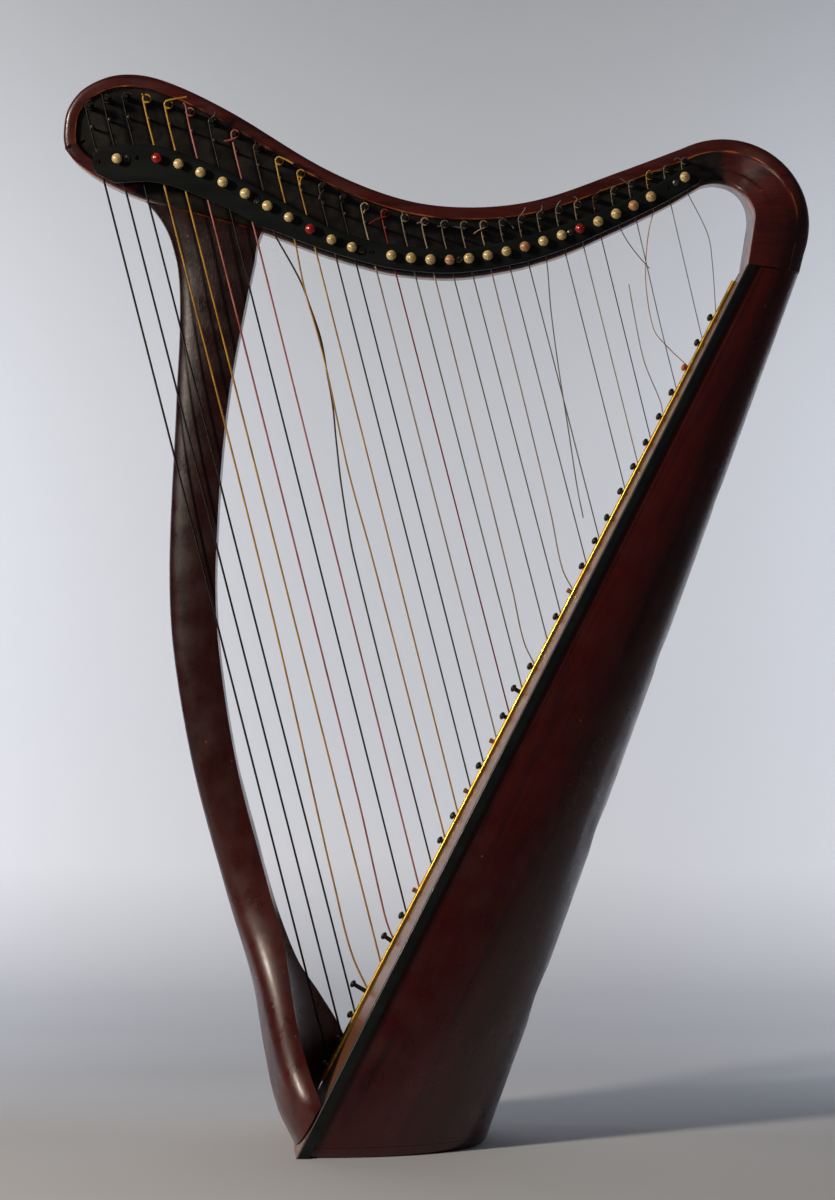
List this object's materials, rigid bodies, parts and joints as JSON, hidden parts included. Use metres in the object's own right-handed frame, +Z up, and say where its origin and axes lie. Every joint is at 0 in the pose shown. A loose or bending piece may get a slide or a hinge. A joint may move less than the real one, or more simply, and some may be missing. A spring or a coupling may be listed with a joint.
{
  "type": "folk harp",
  "caption": "Small floor harp with a round-backed soundbox, bowed pillar, curved neck and turning pitch stops on the neck",
  "frame": {"origin": "middle of the underside of the soundbox, on the floor", "axes": "+Z up; +X from the pillar towards the soundbox; -Y the side of the neck that carries the strings, tuning pins and stops"},
  "size_m": [0.6945, 0.2394, 0.9882],
  "materials": {
    "mahogany": "dark red mahogany stain under glossy lacquer",
    "soundboard_wood": "aged spruce, varnished",
    "ebonised": "black lacquer with a green-black sheen",
    "pale_wood": "bare beech",
    "brass": "polished brass, with gut and wound strings",
    "steel": "dulled steel",
    "ivory": "ivory-coloured knob",
    "red_enamel": "red knob for the marked notes",
    "gut": "plain gut or nylon string"
  },
  "bodies": {
    "frame": {"base_board": "mahogany", "binding_far": "ebonised", "binding_near": "ebonised", "bottom_block": "pale_wood", "foot_screw_far": "steel", "foot_screw_near": "steel", "inner_string_bar": "pale_wood", "loose_string_long": "gut", "loose_string_short": "gut", "loose_string_stub": "gut", "lower_rib": "pale_wood", "middle_rib": "pale_wood", "neck": "mahogany", "neck_dowel_lower": "pale_wood", "neck_dowel_upper": "pale_wood", "pillar": "mahogany", "plate_screw_1": "steel", "plate_screw_2": "steel", "plate_screw_3": "steel", "plate_screw_4": "steel", "plate_screw_5": "steel", "plate_screw_6": "steel", "shoulder": "mahogany", "shoulder_dowel": "pale_wood", "soundboard": "soundboard_wood", "soundbox_shell": "mahogany", "stop_plate": "ebonised", "string_set": "brass", "top_block": "pale_wood", "tuning_pin_23": "pale_wood", "tuning_pin_27": "pale_wood", "upper_rib": "pale_wood"},
    "stop_02": {"stop_02": "ivory"},
    "stop_04": {"stop_04": "red_enamel"},
    "stop_05": {"stop_05": "ivory"},
    "stop_06": {"stop_06": "ivory"},
    "stop_07": {"stop_07": "ivory"},
    "stop_08": {"stop_08": "ivory"},
    "stop_09": {"stop_09": "ivory"},
    "stop_10": {"stop_10": "ivory"},
    "stop_11": {"stop_11": "red_enamel"},
    "stop_12": {"stop_12": "ivory"},
    "stop_13": {"stop_13": "ivory"},
    "stop_15": {"stop_15": "ivory"},
    "stop_16": {"stop_16": "ivory"},
    "stop_17": {"stop_17": "ivory"},
    "stop_18": {"stop_18": "ivory"},
    "stop_19": {"stop_19": "ivory"},
    "stop_20": {"stop_20": "ivory"},
    "stop_21": {"stop_21": "ivory"},
    "stop_22": {"stop_22": "ivory"},
    "stop_23": {"stop_23": "ivory"},
    "stop_24": {"stop_24": "ivory"},
    "stop_25": {"stop_25": "red_enamel"},
    "stop_26": {"stop_26": "ivory"},
    "stop_27": {"stop_27": "ivory"},
    "stop_28": {"stop_28": "ivory"},
    "stop_29": {"stop_29": "ivory"},
    "stop_31": {"stop_31": "ivory"}
  },
  "joints": [
    {"name": "stop_02_turn", "type": "hinge", "parent": "frame", "child": "stop_02", "pos_m": [-0.25413, -0.02, 0.90706], "axis": [0, -1, 0], "range_deg": [0, 54]},
    {"name": "stop_04_turn", "type": "hinge", "parent": "frame", "child": "stop_04", "pos_m": [-0.2173, -0.02, 0.90744], "axis": [0, -1, 0], "range_deg": [0, 55]},
    {"name": "stop_05_turn", "type": "hinge", "parent": "frame", "child": "stop_05", "pos_m": [-0.19743, -0.02, 0.90216], "axis": [0, -1, 0], "range_deg": [0, 55]},
    {"name": "stop_06_turn", "type": "hinge", "parent": "frame", "child": "stop_06", "pos_m": [-0.17704, -0.02, 0.89441], "axis": [0, -1, 0], "range_deg": [0, 55]},
    {"name": "stop_07_turn", "type": "hinge", "parent": "frame", "child": "stop_07", "pos_m": [-0.15652, -0.02, 0.88542], "axis": [0, -1, 0], "range_deg": [0, 56]},
    {"name": "stop_08_turn", "type": "hinge", "parent": "frame", "child": "stop_08", "pos_m": [-0.13585, -0.02, 0.87478], "axis": [0, -1, 0], "range_deg": [0, 56]},
    {"name": "stop_09_turn", "type": "hinge", "parent": "frame", "child": "stop_09", "pos_m": [-0.11541, -0.02, 0.86347], "axis": [0, -1, 0], "range_deg": [0, 56]},
    {"name": "stop_10_turn", "type": "hinge", "parent": "frame", "child": "stop_10", "pos_m": [-0.0956, -0.02, 0.8529], "axis": [0, -1, 0], "range_deg": [0, 57]},
    {"name": "stop_11_turn", "type": "hinge", "parent": "frame", "child": "stop_11", "pos_m": [-0.07581, -0.02, 0.84204], "axis": [0, -1, 0], "range_deg": [0, 57]},
    {"name": "stop_12_turn", "type": "hinge", "parent": "frame", "child": "stop_12", "pos_m": [-0.05623, -0.02, 0.83236], "axis": [0, -1, 0], "range_deg": [0, 57]},
    {"name": "stop_13_turn", "type": "hinge", "parent": "frame", "child": "stop_13", "pos_m": [-0.03734, -0.02, 0.82543], "axis": [0, -1, 0], "range_deg": [0, 58]},
    {"name": "stop_15_turn", "type": "hinge", "parent": "frame", "child": "stop_15", "pos_m": [-0.00101, -0.02, 0.81786], "axis": [0, -1, 0], "range_deg": [0, 58]},
    {"name": "stop_16_turn", "type": "hinge", "parent": "frame", "child": "stop_16", "pos_m": [0.01711, -0.02, 0.81546], "axis": [0, -1, 0], "range_deg": [0, 59]},
    {"name": "stop_17_turn", "type": "hinge", "parent": "frame", "child": "stop_17", "pos_m": [0.03506, -0.02, 0.81391], "axis": [0, -1, 0], "range_deg": [0, 59]},
    {"name": "stop_18_turn", "type": "hinge", "parent": "frame", "child": "stop_18", "pos_m": [0.05286, -0.02, 0.81365], "axis": [0, -1, 0], "range_deg": [0, 59]},
    {"name": "stop_19_turn", "type": "hinge", "parent": "frame", "child": "stop_19", "pos_m": [0.07047, -0.02, 0.81501], "axis": [0, -1, 0], "range_deg": [0, 60]},
    {"name": "stop_20_turn", "type": "hinge", "parent": "frame", "child": "stop_20", "pos_m": [0.08786, -0.02, 0.81777], "axis": [0, -1, 0], "range_deg": [0, 60]},
    {"name": "stop_21_turn", "type": "hinge", "parent": "frame", "child": "stop_21", "pos_m": [0.10503, -0.02, 0.82149], "axis": [0, -1, 0], "range_deg": [0, 60]},
    {"name": "stop_22_turn", "type": "hinge", "parent": "frame", "child": "stop_22", "pos_m": [0.1221, -0.02, 0.82583], "axis": [0, -1, 0], "range_deg": [0, 61]},
    {"name": "stop_23_turn", "type": "hinge", "parent": "frame", "child": "stop_23", "pos_m": [0.1391, -0.02, 0.83082], "axis": [0, -1, 0], "range_deg": [0, 61]},
    {"name": "stop_24_turn", "type": "hinge", "parent": "frame", "child": "stop_24", "pos_m": [0.15598, -0.02, 0.83643], "axis": [0, -1, 0], "range_deg": [0, 61]},
    {"name": "stop_25_turn", "type": "hinge", "parent": "frame", "child": "stop_25", "pos_m": [0.17289, -0.02, 0.84255], "axis": [0, -1, 0], "range_deg": [0, 62]},
    {"name": "stop_26_turn", "type": "hinge", "parent": "frame", "child": "stop_26", "pos_m": [0.18969, -0.02, 0.84904], "axis": [0, -1, 0], "range_deg": [0, 62]},
    {"name": "stop_27_turn", "type": "hinge", "parent": "frame", "child": "stop_27", "pos_m": [0.20619, -0.02, 0.85612], "axis": [0, -1, 0], "range_deg": [0, 62]},
    {"name": "stop_28_turn", "type": "hinge", "parent": "frame", "child": "stop_28", "pos_m": [0.2224, -0.02, 0.86373], "axis": [0, -1, 0], "range_deg": [0, 63]},
    {"name": "stop_29_turn", "type": "hinge", "parent": "frame", "child": "stop_29", "pos_m": [0.23836, -0.02, 0.87186], "axis": [0, -1, 0], "range_deg": [0, 63]},
    {"name": "stop_31_turn", "type": "hinge", "parent": "frame", "child": "stop_31", "pos_m": [0.26969, -0.02, 0.88995], "axis": [0, -1, 0], "range_deg": [0, 64]}
  ]
}
